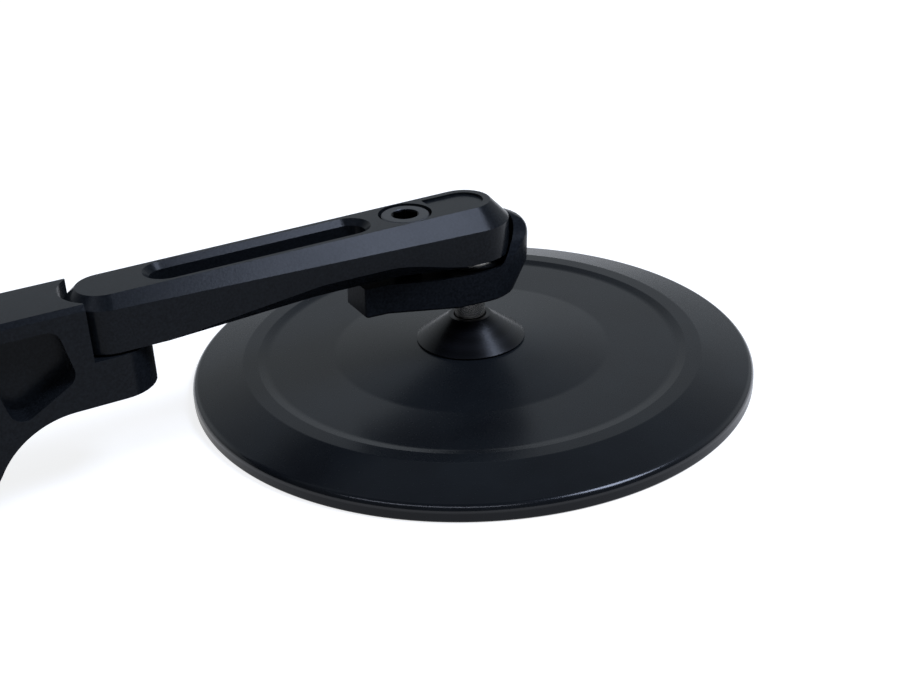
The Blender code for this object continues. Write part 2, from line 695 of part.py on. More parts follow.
def clamp_side_outline():
    """The clamp from the side, counter-clockwise: knuckle, wall, ring, ears, ring, web fillet."""
    fillet_z = KNUCKLE_BOTTOM - WEB_FILLET
    fillet_x = RING_X + sqrt((RING_RADIUS + WEB_FILLET) ** 2 - (RING_Z - fillet_z) ** 2)
    meet = atan2(fillet_z - RING_Z, fillet_x - RING_X)
    ear_angle = asin(EAR_HALF / RING_RADIUS)
    knuckle_end = PIVOT_X + BODY_HALF + OVERSHOOT
    wall = PIVOT_X - WALL_SETBACK
    corner_x = EAR_END + EAR_ROUND
    corner_z = EAR_HALF - EAR_ROUND
    outline = [(knuckle_end, KNUCKLE_BOTTOM), (knuckle_end, KNUCKLE_TOP)]
    outline += [(wall, KNUCKLE_TOP), (wall, ARM_TOP)]
    outline += arc(RING_X, RING_Z, RING_RADIUS, pi / 2, pi - ear_angle, END_STEPS)
    outline += arc(corner_x, RING_Z + corner_z, EAR_ROUND, pi / 2, pi, CORNER_STEPS)
    outline += arc(corner_x, RING_Z - corner_z, EAR_ROUND, pi, 3 * pi / 2, CORNER_STEPS)
    outline += arc(RING_X, RING_Z, RING_RADIUS, pi + ear_angle, 2 * pi + meet, END_STEPS)
    outline += arc(fillet_x, fillet_z, WEB_FILLET, pi + meet, pi / 2, END_STEPS)[1:]
    return outline


def upright(item, y=0.0):
    """Stands a flat outline up in the side plane, X along the arm and Y to the height."""
    item.rotation_euler = (pi / 2, 0.0, 0.0)
    item.location = (0.0, y, 0.0)
    return item


def side_pocket(name, side):
    """A lightening pocket between ring and knuckle, sunk into one side of the clamp."""
    top = ARM_TOP - POCKET_MARGIN
    right = PIVOT_X - WALL_SETBACK - POCKET_MARGIN
    left = RING_X + RING_RADIUS + POCKET_RING_GAP
    belly = KNUCKLE_BOTTOM + POCKET_RISE
    low = belly - (right - left) * tan(POCKET_SLOPE)
    lean_left = left - RING_RADIUS * (1 - cos(asin((top - RING_Z) / RING_RADIUS))) / 2
    corners = [(left, low), (right, belly), (right - POCKET_TOP_LEAN, top), (lean_left, top)]
    thickness = 2 * BODY_HALF
    cutter = extruded(name, rounded(corners, POCKET_ROUND), thickness, True)
    return upright(cutter, side * (BODY_HALF - POCKET_DEPTH + thickness / 2))


def build_clamp_body():
    body = upright(extruded("clamp_body", clamp_side_outline(), 2 * BODY_HALF + OVERSHOOT))
    left = EAR_END - 2 * BODY_HALF
    shoulder = ARM_TOP - BODY_CHAMFER
    crest = BODY_HALF - BODY_CHAMFER - OVERSHOOT
    right = PIVOT_X - KNUCKLE_SETBACK
    side = capsule(left, BODY_HALF, right, BODY_HALF)
    plan = [level(capsule(left, crest, right, crest), ARM_TOP + OVERSHOOT), level(side, shoulder)]
    plan.append(level(side, RING_Z - RING_RADIUS - OVERSHOOT))
    shape(body, loft("clamp_plan", plan, True), 'INTERSECT')
    sweep = ARM_ROOT_HALF + WALL_GAP
    sweep_bottom = KNUCKLE_TOP + RUN_GAP / 5
    arm_sweep = rod("arm_sweep", sweep, ARM_TOP + OVERSHOOT, sweep_bottom, TURN_STEPS, True)
    shape(body, at(arm_sweep, x=PIVOT_X))
    for side_name, side_sign in (("near", -1), ("far", 1)):
        shape(body, side_pocket("side_pocket_" + side_name, side_sign))
    bore = rod("handlebar_bore", BAR_RADIUS, 2 * BODY_HALF, -2 * BODY_HALF, TURN_STEPS, True)
    bore.rotation_euler = (pi / 2, 0.0, 0.0)
    shape(body, at(bore, x=RING_X, z=RING_Z))
    slit_low = (EAR_END - OVERSHOOT, -2 * BODY_HALF, RING_Z - SLIT_WIDTH / 2)
    slit_high = (RING_X - BAR_RADIUS + OVERSHOOT, 2 * BODY_HALF, RING_Z + SLIT_WIDTH / 2)
    shape(body, block("slit", slit_low, slit_high))
    shape(body, pivot_hole())
    shape(body, pinch_hole())
    origin_to_ring = Matrix.Translation((-RING_X, -RING_Z, 0.0))
    body.data.transform(origin_to_ring)
    body.location = (RING_X, 0.0, RING_Z)
    return body


def pivot_hole():
    """The knuckle's stepped hole: thrust washer seat, bush bore and the screw head's counterbore."""
    bush = PIVOT_SCREW_RADIUS + BUSH_WALL + 2 * RUN_GAP
    thrust = THRUST_RADIUS + RUN_GAP
    head = PIVOT_HEAD_RADIUS + COUNTERBORE_GAP
    high = KNUCKLE_TOP + OVERSHOOT
    low = KNUCKLE_BOTTOM - OVERSHOOT
    profile = [(0.0, high), (thrust, high), (thrust, THRUST_SEAT), (bush, THRUST_SEAT), (bush, SPRING_SEAT)]
    profile += [(head, SPRING_SEAT), (head, low), (0.0, low)]
    return at(turned("pivot_hole", profile, SMALL_STEPS, False, True), x=PIVOT_X)


def pinch_hole():
    wide = PINCH_HEAD_RADIUS + COUNTERBORE_GAP
    narrow = PINCH_RADIUS + RUN_GAP
    high = RING_Z + EAR_HALF + OVERSHOOT
    floor = RING_Z + EAR_HALF - PINCH_SUNK
    low = RING_Z - EAR_HALF - OVERSHOOT
    profile = [(0.0, high), (wide, high), (wide, floor), (narrow, floor), (narrow, low), (0.0, low)]
    return at(turned("pinch_hole", profile, SMALL_STEPS, False, True), x=PINCH_X)


def build_pinch_screw():
    bottom = RING_Z + EAR_HALF - PINCH_SUNK + SEAT_GAP
    end = RING_Z - EAR_HALF + PINCH_END
    head = (bottom + PINCH_HEAD_HEIGHT, bottom)
    screw, socket = headed_screw("pinch_screw", PINCH_HEAD_RADIUS, head, PINCH_RADIUS, end,
                                 PINCH_KEY, PINCH_KEY_DEPTH)
    at(socket, x=PINCH_X)
    return at(screw, x=PINCH_X)


ANODISED = make_material("black_anodised", (0.020, 0.022, 0.026), 0.6, 0.42)
PAINT = make_material("satin_black_paint", (0.018, 0.018, 0.019), 0.0, 0.35)
GLOSS = make_material("gloss_black", (0.012, 0.012, 0.013), 0.0, 0.12)
STEEL = make_material("polished_steel", (0.62, 0.61, 0.59), 1.0, 0.12)
BLACK_STEEL = make_material("blackened_steel", (0.035, 0.035, 0.038), 0.9, 0.38)
MIRROR = make_material("mirror", (0.85, 0.87, 0.88), 1.0, 0.02)
FOAM = make_material("foam", (0.03, 0.03, 0.03), 0.0, 0.9)
NYLON = make_material("nylon", (0.022, 0.022, 0.022), 0.0, 0.5)

BUILDERS = (
    (build_back_shell, PAINT),
    (build_mirror_glass, MIRROR),
    (build_glass_pad, FOAM),
    (build_boss_cone, GLOSS),
    (build_stud, STEEL),
    (build_stud_nut, BLACK_STEEL),
    (build_stud_washer, STEEL),
    (build_pivot_ball, STEEL),
    (build_arm, ANODISED),
    (build_clamp_jaw, ANODISED),
    (build_jaw_screw, BLACK_STEEL),
    (build_pivot_screw, BLACK_STEEL),
    (build_pivot_bush, NYLON),
    (build_thrust_washer, NYLON),
    (build_spring_washer, STEEL),
    (build_clamp_body, ANODISED),
    (build_pinch_screw, BLACK_STEEL),
)

PIECES = [(build(), material) for build, material in BUILDERS]
for piece, piece_material in PIECES:
    finish(piece, piece_material)
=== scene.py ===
# %% [markdown]
# # A bar-end mirror, face down on a white table
# The part is a round rear-view mirror for the end of a handlebar: a split ring clamp, a slotted
# folding arm, a ball joint held by a jaw, and a dished head with the glass underneath.
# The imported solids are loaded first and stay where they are. Every piece made below takes the place
# of one of them, moves with its body and keeps inside its size.

# %% Load the frame
import json
from math import asin, cos, pi, radians, sin, tau

import bmesh
import bpy
from mathutils import Matrix, Vector


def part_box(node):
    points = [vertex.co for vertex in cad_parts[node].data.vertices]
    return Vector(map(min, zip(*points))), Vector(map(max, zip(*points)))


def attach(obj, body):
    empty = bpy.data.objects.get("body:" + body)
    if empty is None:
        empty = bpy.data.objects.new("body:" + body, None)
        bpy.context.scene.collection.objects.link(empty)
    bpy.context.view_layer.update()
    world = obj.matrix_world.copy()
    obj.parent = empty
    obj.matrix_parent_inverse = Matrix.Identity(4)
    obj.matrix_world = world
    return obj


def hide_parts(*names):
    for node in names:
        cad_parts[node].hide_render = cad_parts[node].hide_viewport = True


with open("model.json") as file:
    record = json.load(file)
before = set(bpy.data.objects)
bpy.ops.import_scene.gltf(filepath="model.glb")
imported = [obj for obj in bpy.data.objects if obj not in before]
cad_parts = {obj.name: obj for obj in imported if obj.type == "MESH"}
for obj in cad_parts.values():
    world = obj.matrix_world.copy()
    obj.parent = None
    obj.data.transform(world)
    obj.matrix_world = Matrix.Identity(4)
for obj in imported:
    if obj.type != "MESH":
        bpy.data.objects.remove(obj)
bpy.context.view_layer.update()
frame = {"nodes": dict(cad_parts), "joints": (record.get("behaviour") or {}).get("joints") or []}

MM = 0.001
HEAD_AXIS = frame["joints"][-1]["pos_m"][0]
PIVOT_AXIS = frame["joints"][0]["pos_m"][0]
print("mirror axis at", round(HEAD_AXIS / MM, 2), "mm, fold axis at", round(PIVOT_AXIS / MM, 2), "mm")

# %% [markdown]
# ## Three small tools
# Shaders work in linear light, but colours are easier to judge as sRGB hex codes, so one function
# turns the code into linear numbers. Another adds a node, sets its properties and fills its sockets;
# a value that is itself a socket becomes a link. A third starts a material with an empty shader and
# the Object coordinates that its patterns read.

# %% Colour and node helpers
def linear(code):
    """Linear colour of an sRGB hex code."""
    parts = [int(code[digit:digit + 2], 16) / 255 for digit in (1, 3, 5)]
    return tuple(p / 12.92 if p <= 0.04045 else ((p + 0.055) / 1.055) ** 2.4 for p in parts) + (1.0,)


def put(tree, kind, sockets=None, **settings):
    """Adds a node of one kind, with its settings, and fills or links its sockets."""
    node = tree.nodes.new(kind)
    for key, value in settings.items():
        setattr(node, key, value)
    for key, value in (sockets or {}).items():
        if isinstance(value, bpy.types.NodeSocket):
            tree.links.new(value, node.inputs[key])
        else:
            node.inputs[key].default_value = value
    return node


def blank_finish(name):
    """A material with an empty surface shader, and the place on the piece that patterns read."""
    finish = bpy.data.materials.new(name)
    finish.use_nodes = True
    tree = finish.node_tree
    tree.nodes.clear()
    surface = put(tree, 'ShaderNodeBsdfPrincipled')
    put(tree, 'ShaderNodeOutputMaterial', {"Surface": surface.outputs["BSDF"]})
    place = put(tree, 'ShaderNodeTexCoord').outputs["Object"]
    return finish, tree, surface, place


print("mid grey in linear light:", [round(v, 4) for v in linear("#808080")[:3]])

# %% [markdown]
# ## Bead-blasted black anodising
# Arm, jaw and clamp are milled aluminium, blasted with fine glass beads and then anodised black.
# The dyed oxide is a hard clear-topped skin, so it is a dielectric, not bare metal. Blasting leaves
# dimples about 0.1 mm across. They give the flat faces their sparkle and a broad soft highlight.
# A noise on Object coordinates bumps the surface; its grain is drawn at 0.4 mm, because 0.1 mm is
# smaller than a pixel of the picture. The dyed pores swallow most of the light, so the reflection is
# weak: beside a pure white table a stronger one would turn the faces grey. The jaw looks duller than
# arm and clamp, so one function makes both finishes.

# %% Bead-blasted anodised aluminium
def bead_blasted_anodising(name, dark, pale, shine):
    """Blasted and dyed aluminium, from its two blacks and the strength of its reflection."""
    finish, tree, surface, place = blank_finish(name)
    grain = put(tree, 'ShaderNodeTexNoise', {"Vector": place, "Scale": 1 / (0.40 * MM), "Detail": 2.0})
    cloud = put(tree, 'ShaderNodeTexNoise', {"Vector": place, "Scale": 1 / (9.0 * MM), "Detail": 3.0})
    shade = put(tree, 'ShaderNodeValToRGB', {"Fac": grain.outputs["Fac"]})
    shade.color_ramp.elements[0].position = 0.30
    shade.color_ramp.elements[0].color = linear(dark)
    shade.color_ramp.elements[1].position = 0.72
    shade.color_ramp.elements[1].color = linear(pale)
    tree.links.new(shade.outputs["Color"], surface.inputs["Base Color"])
    gloss = put(tree, 'ShaderNodeMapRange', {"Value": cloud.outputs["Fac"], "From Min": 0.3, "From Max": 0.7,
                                             "To Min": 0.21, "To Max": 0.26})
    tree.links.new(gloss.outputs["Result"], surface.inputs["Roughness"])
    dimples = put(tree, 'ShaderNodeBump', {"Height": grain.outputs["Fac"], "Strength": 0.45,
                                           "Distance": 0.03 * MM})
    tree.links.new(dimples.outputs["Normal"], surface.inputs["Normal"])
    surface.inputs["IOR"].default_value = 1.6
    surface.inputs["Specular IOR Level"].default_value = shine
    return finish


ANODISED = bead_blasted_anodising("bead_blasted_black_anodised_aluminium", "#111316", "#1b1e21", 0.055)
MATT_ANODISED = bead_blasted_anodising("matt_blasted_black_anodised_aluminium", "#15171a", "#212428", 0.006)
print("finishes:", ANODISED.name, MATT_ANODISED.name)

# %% [markdown]
# ## Satin black coating on the turned head
# The head is spun or turned aluminium under a satin black coat. The coat flows a little before it
# sets, so its gloss is even, with a faint orange peel of about half a millimetre. Light slides over
# it in broad gradients, brighter where it is seen edge-on. Over the rim's edge the coat is drawn thin
# and smooth, and hands polish it, so gradients by radius and height make that edge glossier: there
# it catches the lamps in a thin bright line.

# %% Satin coated aluminium
def from_axis(tree, place, axis=HEAD_AXIS):
    """How far a spot is from an upright axis in the plane of the arm."""
    centred = put(tree, 'ShaderNodeVectorMath', {0: place, 1: (-axis, 0.0, 0.0)}, operation='ADD')
    flat = put(tree, 'ShaderNodeVectorMath', {0: centred.outputs["Vector"], 1: (1.0, 1.0, 0.0)},
               operation='MULTIPLY')
    return put(tree, 'ShaderNodeVectorMath', {0: flat.outputs["Vector"]}, operation='LENGTH').outputs["Value"]


def satin_coating():
    """Satin black coat, glossier along the rim's upper edge."""
    finish, tree, surface, place = blank_finish("satin_black_coated_aluminium")
    peel = put(tree, 'ShaderNodeTexNoise', {"Vector": place, "Scale": 1 / (0.55 * MM), "Detail": 2.0})
    cloud = put(tree, 'ShaderNodeTexNoise', {"Vector": place, "Scale": 1 / (14.0 * MM), "Detail": 3.0})
    shade = put(tree, 'ShaderNodeValToRGB', {"Fac": cloud.outputs["Fac"]})
    shade.color_ramp.elements[0].position = 0.35
    shade.color_ramp.elements[0].color = linear("#101215")
    shade.color_ramp.elements[1].position = 0.68
    shade.color_ramp.elements[1].color = linear("#16191c")
    tree.links.new(shade.outputs["Color"], surface.inputs["Base Color"])
    gloss = put(tree, 'ShaderNodeMapRange', {"Value": peel.outputs["Fac"], "From Min": 0.3, "From Max": 0.7,
                                             "To Min": 0.255, "To Max": 0.275})
    outer = put(tree, 'ShaderNodeMapRange', {"Value": from_axis(tree, place), "From Min": 48.0 * MM,
                                             "From Max": 48.3 * MM})
    height = put(tree, 'ShaderNodeSeparateXYZ', {0: place}).outputs["Z"]
    upper = put(tree, 'ShaderNodeMapRange', {"Value": height, "From Min": 1.6 * MM, "From Max": 1.9 * MM})
    edge = put(tree, 'ShaderNodeMath', {0: outer.outputs[0], 1: upper.outputs[0]}, operation='MULTIPLY').outputs[0]
    gloss = put(tree, 'ShaderNodeMapRange', {"Value": edge, "To Min": gloss.outputs["Result"], "To Max": 0.19})
    tree.links.new(gloss.outputs["Result"], surface.inputs["Roughness"])
    shine = put(tree, 'ShaderNodeMapRange', {"Value": edge, "To Min": 0.15, "To Max": 0.30})
    tree.links.new(shine.outputs["Result"], surface.inputs["Specular IOR Level"])
    skin = put(tree, 'ShaderNodeBump', {"Height": peel.outputs["Fac"], "Strength": 0.03, "Distance": 0.02 * MM})
    tree.links.new(skin.outputs["Normal"], surface.inputs["Normal"])
    surface.inputs["IOR"].default_value = 1.5
    return finish


SATIN = satin_coating()
print("finish:", SATIN.name)

# %% [markdown]
# ## Glossy anodised boss
# The little cone under the ball's neck is turned and anodised without blasting, so it keeps a gloss,
# weak like that of the other dyed pieces, with fine tool rings round its axis. A wave texture in
# rings, centred on the axis by a Mapping node, changes the roughness from ring to ring. Real feed
# marks are about 0.05 mm apart; they are drawn at 0.35 mm so that they show.

# %% Turned glossy black
def turned_gloss():
    finish, tree, surface, place = blank_finish("turned_gloss_black_anodised_aluminium")
    centred = put(tree, 'ShaderNodeMapping', {"Vector": place, "Location": (-HEAD_AXIS, 0.0, 0.0)})
    rings = put(tree, 'ShaderNodeTexWave', {"Vector": centred.outputs["Vector"], "Scale": 1 / (20 * 0.35 * MM),
                                            "Distortion": 0.4}, wave_type='RINGS', rings_direction='Z')
    shade = put(tree, 'ShaderNodeValToRGB', {"Fac": rings.outputs["Fac"]})
    shade.color_ramp.elements[0].color = linear("#0a0b0d")
    shade.color_ramp.elements[1].color = linear("#0e0f12")
    tree.links.new(shade.outputs["Color"], surface.inputs["Base Color"])
    gloss = put(tree, 'ShaderNodeMapRange', {"Value": rings.outputs["Fac"], "To Min": 0.26, "To Max": 0.28})
    tree.links.new(gloss.outputs["Result"], surface.inputs["Roughness"])
    surface.inputs["IOR"].default_value = 1.6
    surface.inputs["Specular IOR Level"].default_value = 0.12
    return finish


GLOSS = turned_gloss()
print("finish:", GLOSS.name)

# %% [markdown]
# ## Polished steel, black oxide steel
# Ball and neck are polished stainless steel: bright, with very fine rings left by the polishing belt.
# The screws are alloy steel with a black oxide skin, which is dark but still shines like metal.
# Both are metals, so their colour tints the reflection and the IOR stays at its default. The screw in
# the arm's top gets paler blacks, a painted sheen of its turned face, and its key socket is painted
# near black as shade. There the noise is multiplied by a step in the distance from the screw's axis.

# %% Polished steel
def polished_steel():
    finish, tree, surface, place = blank_finish("polished_stainless_steel")
    stretched = put(tree, 'ShaderNodeMapping', {"Vector": place, "Scale": (1.0, 1.0, 12.0)})
    belt = put(tree, 'ShaderNodeTexNoise', {"Vector": stretched.outputs["Vector"], "Scale": 1 / (2.4 * MM),
                                            "Detail": 3.0})
    shade = put(tree, 'ShaderNodeValToRGB', {"Fac": belt.outputs["Fac"]})
    shade.color_ramp.elements[0].position = 0.3
    shade.color_ramp.elements[0].color = linear("#bab7b2")
    shade.color_ramp.elements[1].position = 0.7
    shade.color_ramp.elements[1].color = linear("#c4c1bb")
    tree.links.new(shade.outputs["Color"], surface.inputs["Base Color"])
    gloss = put(tree, 'ShaderNodeMapRange', {"Value": belt.outputs["Fac"], "From Min": 0.3, "From Max": 0.7,
                                             "To Min": 0.25, "To Max": 0.27})
    tree.links.new(gloss.outputs["Result"], surface.inputs["Roughness"])
    surface.inputs["Metallic"].default_value = 1.0
    return finish


STEEL = polished_steel()
print("finish:", STEEL.name)

# %% Black oxide steel
def black_oxide(name, dark, pale, axis=None, socket=0.0):
    """Black oxide steel; where an axis is given, the key socket round it is painted near black as shade."""
    finish, tree, surface, place = blank_finish(name)
    crystals = put(tree, 'ShaderNodeTexNoise', {"Vector": place, "Scale": 1 / (0.3 * MM), "Detail": 3.0})
    grain = crystals.outputs["Fac"]
    if axis is not None:
        # Painted shade: this mask is 0 inside the key socket, so the colour there falls to near black.
        socket_shade_mask = put(tree, 'ShaderNodeMapRange', {"Value": from_axis(tree, place, axis),
                                                 "From Min": socket - 0.05 * MM, "From Max": socket + 0.02 * MM})
        grain = put(tree, 'ShaderNodeMath', {0: grain, 1: socket_shade_mask.outputs["Result"]}, operation='MULTIPLY').outputs[0]
    shade = put(tree, 'ShaderNodeValToRGB', {"Fac": grain})
    shade.color_ramp.elements[0].position = 0.3
    shade.color_ramp.elements[0].color = linear(dark)
    shade.color_ramp.elements[1].position = 0.7
    shade.color_ramp.elements[1].color = linear(pale)
    # Near black: the painted shade inside the key socket.
    shade.color_ramp.elements.new(0.0).color = linear("#050506")
    tree.links.new(shade.outputs["Color"], surface.inputs["Base Color"])
    gloss = put(tree, 'ShaderNodeMapRange', {"Value": crystals.outputs["Fac"], "From Min": 0.3, "From Max": 0.7,
                                             "To Min": 0.42, "To Max": 0.52})
    tree.links.new(gloss.outputs["Result"], surface.inputs["Roughness"])
    surface.inputs["Metallic"].default_value = 1.0
    return finish


JAW_KEY = 4.0
JAW_SCREW_AXIS = frame["joints"][1]["pos_m"][0]
OXIDE = black_oxide("black_oxide_alloy_steel", "#26272a", "#3a3b3e")
# Paler blacks paint the sheen of the turned screw face; its key socket gets painted shade.
PAINTED_SHEEN_AND_SHADE_OXIDE = black_oxide("black_oxide_steel_painted_sheen_and_socket_shade", "#414245", "#5a5b5e", JAW_SCREW_AXIS,
                         JAW_KEY / 3 ** 0.5 * MM)
print("finishes:", OXIDE.name, PAINTED_SHEEN_AND_SHADE_OXIDE.name)

# %% [markdown]
# ## Silvered glass
# The mirror is glass with a metal film. What the eye gets is the film: a nearly perfect reflection
# with a faint cool tint. Its rim is ground, so roughness rises outside 46 mm, measured from the axis
# by a radial gradient. A thin uneven haze keeps it from looking like a hole.

# %% Silvered glass
def silvered_glass():
    finish, tree, surface, place = blank_finish("silvered_float_glass")
    haze = put(tree, 'ShaderNodeTexNoise', {"Vector": place, "Scale": 1 / (18.0 * MM), "Detail": 4.0})
    film = put(tree, 'ShaderNodeMapRange', {"Value": haze.outputs["Fac"], "From Min": 0.3, "From Max": 0.7,
                                            "To Min": 0.010, "To Max": 0.028})
    ground = put(tree, 'ShaderNodeMapRange', {"Value": from_axis(tree, place), "From Min": 46.0 * MM,
                                              "From Max": 46.3 * MM, "To Min": 0.0, "To Max": 0.35})
    gloss = put(tree, 'ShaderNodeMath', {0: film.outputs["Result"], 1: ground.outputs["Result"]}, operation='ADD')
    tree.links.new(gloss.outputs["Value"], surface.inputs["Roughness"])
    shade = put(tree, 'ShaderNodeValToRGB', {"Fac": haze.outputs["Fac"]})
    shade.color_ramp.elements[0].color = linear("#dfe5e6")
    shade.color_ramp.elements[1].color = linear("#eaeeee")
    tree.links.new(shade.outputs["Color"], surface.inputs["Base Color"])
    surface.inputs["Metallic"].default_value = 1.0
    return finish


SILVER = silvered_glass()
print("finish:", SILVER.name)

# %% [markdown]
# ## Foam pad and nylon
# The glass sticks to the head by a ring of closed-cell foam, whose cut cells make a coarse dull
# skin. The folding pivot turns in a bush and on a washer of black nylon: dull, a little waxy and
# faintly mottled by moulding, so the seam between arm and knuckle stays dark.

# %% Foam and nylon
def cell_foam():
    finish, tree, surface, place = blank_finish("closed_cell_foam")
    cells = put(tree, 'ShaderNodeTexVoronoi', {"Vector": place, "Scale": 1 / (0.5 * MM)})
    shade = put(tree, 'ShaderNodeValToRGB', {"Fac": cells.outputs["Distance"]})
    shade.color_ramp.elements[0].color = linear("#141414")
    shade.color_ramp.elements[1].color = linear("#262626")
    tree.links.new(shade.outputs["Color"], surface.inputs["Base Color"])
    pores = put(tree, 'ShaderNodeBump', {"Height": cells.outputs["Distance"], "Strength": 0.6,
                                         "Distance": 0.2 * MM})
    tree.links.new(pores.outputs["Normal"], surface.inputs["Normal"])
    surface.inputs["Roughness"].default_value = 0.9
    return finish


def black_nylon():
    finish, tree, surface, place = blank_finish("moulded_black_nylon")
    mottle = put(tree, 'ShaderNodeTexNoise', {"Vector": place, "Scale": 1 / (1.5 * MM), "Detail": 3.0})
    shade = put(tree, 'ShaderNodeValToRGB', {"Fac": mottle.outputs["Fac"]})
    shade.color_ramp.elements[0].color = linear("#161617")
    shade.color_ramp.elements[1].color = linear("#222223")
    tree.links.new(shade.outputs["Color"], surface.inputs["Base Color"])
    gloss = put(tree, 'ShaderNodeMapRange', {"Value": mottle.outputs["Fac"], "To Min": 0.38, "To Max": 0.52})
    tree.links.new(gloss.outputs["Result"], surface.inputs["Roughness"])
    surface.inputs["IOR"].default_value = 1.53
    return finish


FOAM = cell_foam()
NYLON = black_nylon()
print("finishes:", FOAM.name, NYLON.name)

# %% [markdown]
# ## One rule for everything turned
# Half of this object comes off a lathe. A turned piece is one outline of radius and height, swung
# round an axis, so a Geometry Nodes tree states that rule once. It takes the outline as a chain of
# edges, rounds each corner by the radius stored on it, lays out a grid of rows and steps, and bends
# the grid round the axis. A thread is the same rule with a radius that also depends on the angle:
# where the outline carries a thread depth, a triangle wave climbs one pitch per turn.

# %% The turning tree
def turning_rule():
    tree = bpy.data.node_groups.new("turned_piece", 'GeometryNodeTree')
    ports = (("Profile", 'NodeSocketGeometry'), ("Hollow", 'NodeSocketInt'), ("Steps", 'NodeSocketInt'),
             ("Corner Points", 'NodeSocketInt'), ("Pitch", 'NodeSocketFloat'), ("Axis", 'NodeSocketVector'),
             ("Finish", 'NodeSocketMaterial'))
    for name, kind in ports:
        tree.interface.new_socket(name, in_out='INPUT', socket_type=kind)
    tree.interface.new_socket("Piece", in_out='OUTPUT', socket_type='NodeSocketGeometry')
    given = put(tree, 'NodeGroupInput').outputs
    chain = put(tree, 'GeometryNodeMeshToCurve', {"Mesh": given["Profile"]})
    radius = put(tree, 'GeometryNodeInputNamedAttribute', {"Name": "corner_round"}, data_type='FLOAT')
    soft = put(tree, 'GeometryNodeFilletCurve', {"Curve": chain.outputs["Curve"], "Count": given["Corner Points"],
                                                 "Radius": radius.outputs["Attribute"], "Limit Radius": True},
               mode='POLY')
    outline = put(tree, 'GeometryNodeCurveToPoints', {"Curve": soft.outputs["Curve"]}, mode='EVALUATED')
    points = outline.outputs["Points"]
    count = put(tree, 'GeometryNodeAttributeDomainSize', {"Geometry": points}, component='POINTCLOUD')
    count = count.outputs["Point Count"]
    rows = put(tree, 'FunctionNodeIntegerMath', {0: count, 1: given["Hollow"]}, operation='ADD').outputs[0]
    columns = put(tree, 'FunctionNodeIntegerMath', {0: given["Steps"], 1: 1}, operation='ADD').outputs[0]
    grid = put(tree, 'GeometryNodeMeshGrid', {"Vertices X": columns, "Vertices Y": rows})
    index = put(tree, 'GeometryNodeInputIndex').outputs[0]
    step = put(tree, 'FunctionNodeIntegerMath', {0: index, 1: rows}, operation='DIVIDE_FLOOR').outputs[0]
    row = put(tree, 'FunctionNodeIntegerMath', {0: index, 1: rows}, operation='MODULO').outputs[0]
    row = put(tree, 'FunctionNodeIntegerMath', {0: row, 1: count}, operation='MODULO').outputs[0]
    share = put(tree, 'ShaderNodeMath', {0: step, 1: given["Steps"]}, operation='DIVIDE').outputs[0]
    angle = put(tree, 'ShaderNodeMath', {0: share, 1: tau}, operation='MULTIPLY').outputs[0]
    place = put(tree, 'GeometryNodeInputPosition').outputs[0]
    spot = put(tree, 'GeometryNodeSampleIndex', {"Geometry": points, "Value": place, "Index": row},
               data_type='FLOAT_VECTOR')
    spot = put(tree, 'ShaderNodeSeparateXYZ', {0: spot.outputs["Value"]}).outputs
    cut = put(tree, 'GeometryNodeInputNamedAttribute', {"Name": "thread_depth"}, data_type='FLOAT')
    cut = put(tree, 'GeometryNodeSampleIndex', {"Geometry": points, "Value": cut.outputs["Attribute"], "Index": row},
              data_type='FLOAT')
    climb = put(tree, 'ShaderNodeMath', {0: spot["Z"], 1: given["Pitch"]}, operation='DIVIDE').outputs[0]
    climb = put(tree, 'ShaderNodeMath', {0: climb, 1: share}, operation='SUBTRACT').outputs[0]
    wave = put(tree, 'ShaderNodeMath', {0: climb, 1: 0.5}, operation='PINGPONG').outputs[0]
    wave = put(tree, 'ShaderNodeMath', {0: wave, 1: 2.0}, operation='MULTIPLY').outputs[0]
    cut = put(tree, 'ShaderNodeMath', {0: wave, 1: cut.outputs["Value"]}, operation='MULTIPLY').outputs[0]
    reach = put(tree, 'ShaderNodeMath', {0: spot["X"], 1: cut}, operation='SUBTRACT').outputs[0]
    east = put(tree, 'ShaderNodeMath', {0: angle}, operation='COSINE').outputs[0]
    east = put(tree, 'ShaderNodeMath', {0: east, 1: reach}, operation='MULTIPLY').outputs[0]
    north = put(tree, 'ShaderNodeMath', {0: angle}, operation='SINE').outputs[0]
    north = put(tree, 'ShaderNodeMath', {0: north, 1: reach}, operation='MULTIPLY').outputs[0]
    swung = put(tree, 'ShaderNodeCombineXYZ', {0: east, 1: north, 2: spot["Z"]}).outputs[0]
    swung = put(tree, 'ShaderNodeVectorMath', {0: swung, 1: given["Axis"]}, operation='ADD').outputs[0]
    bent = put(tree, 'GeometryNodeSetPosition', {"Geometry": grid.outputs["Mesh"], "Position": swung})
    closed = put(tree, 'GeometryNodeMergeByDistance', {"Geometry": bent.outputs["Geometry"], "Distance": 1e-6})
    smooth = put(tree, 'GeometryNodeSetShadeSmooth', {0: closed.outputs["Geometry"]})
    real = put(tree, 'GeometryNodeRealizeInstances', {0: smooth.outputs["Geometry"]})
    dressed = put(tree, 'GeometryNodeSetMaterial', {"Geometry": real.outputs["Geometry"],
                                                    "Material": given["Finish"]})
    put(tree, 'NodeGroupOutput', {"Piece": dressed.outputs["Geometry"]})
    return tree


TURNING = turning_rule()
print("turning tree:", len(TURNING.nodes), "nodes")

# %% [markdown]
# ## From a tree to a plain piece
# The modifier's inputs are set by identifier before anything is evaluated. The result is copied out
# as a plain mesh, its faces are made to look outwards, and weighted normals keep the flats flat next
# to their rounded edges.

# %% Settle a piece
def sockets_of(tree):
    """Identifier of each named input of a tree."""
    items = [item for item in tree.interface.items_tree if item.item_type == 'SOCKET']
    return {item.name: item.identifier for item in items if item.in_out == 'INPUT'}


